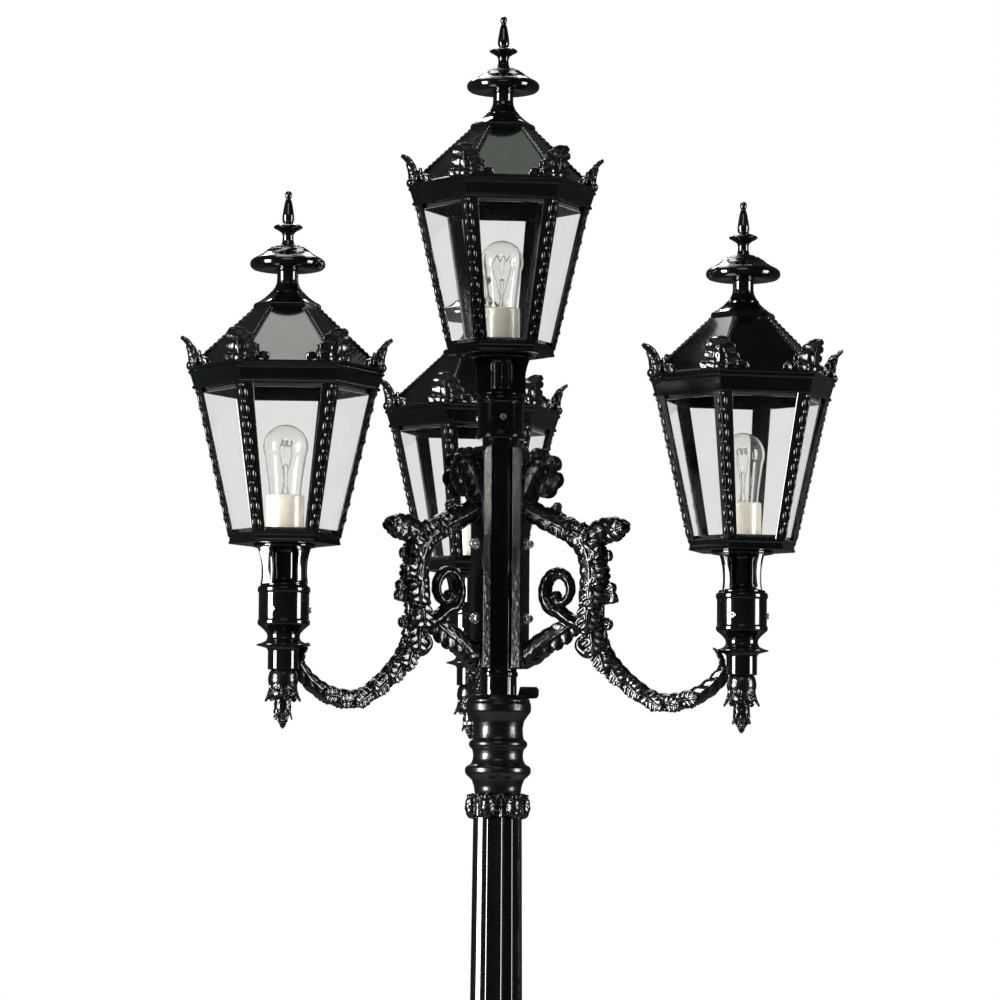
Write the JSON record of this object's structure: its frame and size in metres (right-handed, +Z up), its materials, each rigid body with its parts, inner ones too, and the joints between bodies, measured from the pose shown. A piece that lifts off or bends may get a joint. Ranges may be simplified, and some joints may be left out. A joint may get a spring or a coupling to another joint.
{
  "type": "street lamp post",
  "caption": "Ornamental cast street lamp post: fluted column, three scroll arms and hexagonal glazed lanterns on the arms and on top.",
  "frame": {"origin": "on the column axis at the underside of the base flange, the centre of the anchor bolt circle", "axes": "+Z up along the column; the service door faces -Y and one arm points along +Y"},
  "size_m": [1.3759, 1.2194, 4.202],
  "materials": {
    "painted_cast_iron": "gloss",
    "painted_cast_aluminium": "gloss",
    "painted_sheet": "gloss",
    "clear_glass": "gloss",
    "bulb_glass": "gloss",
    "lamp_holder_ceramic": "satin",
    "stainless_steel": "satin",
    "brass_lock": "satin",
    "terminal_plastic": "matte"
  },
  "bodies": {
    "post": {"base_pedestal": "painted_cast_iron", "door_hinge_pins": "stainless_steel", "terminal_box": "terminal_plastic", "fluted_shaft": "painted_cast_iron", "leaf_collar": "painted_cast_aluminium", "capital": "painted_cast_aluminium", "upper_tube": "painted_cast_aluminium", "top_socket": "painted_cast_aluminium", "scroll_arm_left": "painted_cast_aluminium", "scroll_arm_right": "painted_cast_aluminium", "scroll_arm_back": "painted_cast_aluminium", "arm_socket_left": "painted_cast_aluminium", "arm_socket_right": "painted_cast_aluminium", "arm_socket_back": "painted_cast_aluminium", "drop_finials": "painted_cast_aluminium", "arm_bolts": "stainless_steel", "set_screws": "stainless_steel", "roof_hinge_pins": "stainless_steel", "lantern_foot_top": "painted_cast_aluminium", "base_tray_top": "painted_sheet", "cage_top": "painted_sheet", "glass_panes_top": "clear_glass", "lamp_holder_top": "lamp_holder_ceramic", "bulb_top": "bulb_glass", "lantern_foot_left": "painted_cast_aluminium", "base_tray_left": "painted_sheet", "cage_left": "painted_sheet", "glass_panes_left": "clear_glass", "lamp_holder_left": "lamp_holder_ceramic", "bulb_left": "bulb_glass", "lantern_foot_right": "painted_cast_aluminium", "base_tray_right": "painted_sheet", "cage_right": "painted_sheet", "glass_panes_right": "clear_glass", "lamp_holder_right": "lamp_holder_ceramic", "bulb_right": "bulb_glass", "lantern_foot_back": "painted_cast_aluminium", "base_tray_back": "painted_sheet", "cage_back": "painted_sheet", "glass_panes_back": "clear_glass", "lamp_holder_back": "lamp_holder_ceramic", "bulb_back": "bulb_glass"},
    "service_door": {"service_door": "painted_cast_iron"},
    "door_lock": {"door_lock": "brass_lock"},
    "roof_top": {"roof_top": "painted_sheet", "crown_leaves_top": "painted_cast_aluminium", "vent_cap_top": "painted_sheet", "finial_top": "painted_cast_aluminium"},
    "roof_left": {"roof_left": "painted_sheet", "crown_leaves_left": "painted_cast_aluminium", "vent_cap_left": "painted_sheet", "finial_left": "painted_cast_aluminium"},
    "roof_right": {"roof_right": "painted_sheet", "crown_leaves_right": "painted_cast_aluminium", "vent_cap_right": "painted_sheet", "finial_right": "painted_cast_aluminium"},
    "roof_back": {"roof_back": "painted_sheet", "crown_leaves_back": "painted_cast_aluminium", "vent_cap_back": "painted_sheet", "finial_back": "painted_cast_aluminium"}
  },
  "joints": [
    {"name": "door_hinge", "type": "hinge", "parent": "post", "child": "service_door", "pos_m": [-0.062, -0.1379, 0.375], "axis": [0, 0, -1], "range_deg": [0, 110]},
    {"name": "door_lock_turn", "type": "hinge", "parent": "service_door", "child": "door_lock", "pos_m": [0.038, -0.1299, 0.375], "axis": [0, 1, 0], "range_deg": [0, 90]},
    {"name": "roof_hinge_top", "type": "hinge", "parent": "post", "child": "roof_top", "pos_m": [0, 0.18047, 3.831], "axis": [-1, 0, 0], "range_deg": [0, 95]},
    {"name": "roof_hinge_left", "type": "hinge", "parent": "post", "child": "roof_left", "pos_m": [-0.62074, -0.17271, 3.409], "axis": [-0.5446, -0.8387, 0], "range_deg": [0, 95]},
    {"name": "roof_hinge_right", "type": "hinge", "parent": "post", "child": "roof_right", "pos_m": [0.61352, -0.16239, 3.409], "axis": [-0.6018, 0.7986, 0], "range_deg": [0, 95]},
    {"name": "roof_hinge_back", "type": "hinge", "parent": "post", "child": "roof_back", "pos_m": [-0.01886, 0.72148, 3.409], "axis": [-0.9945, -0.1045, 0], "range_deg": [0, 95]}
  ]
}
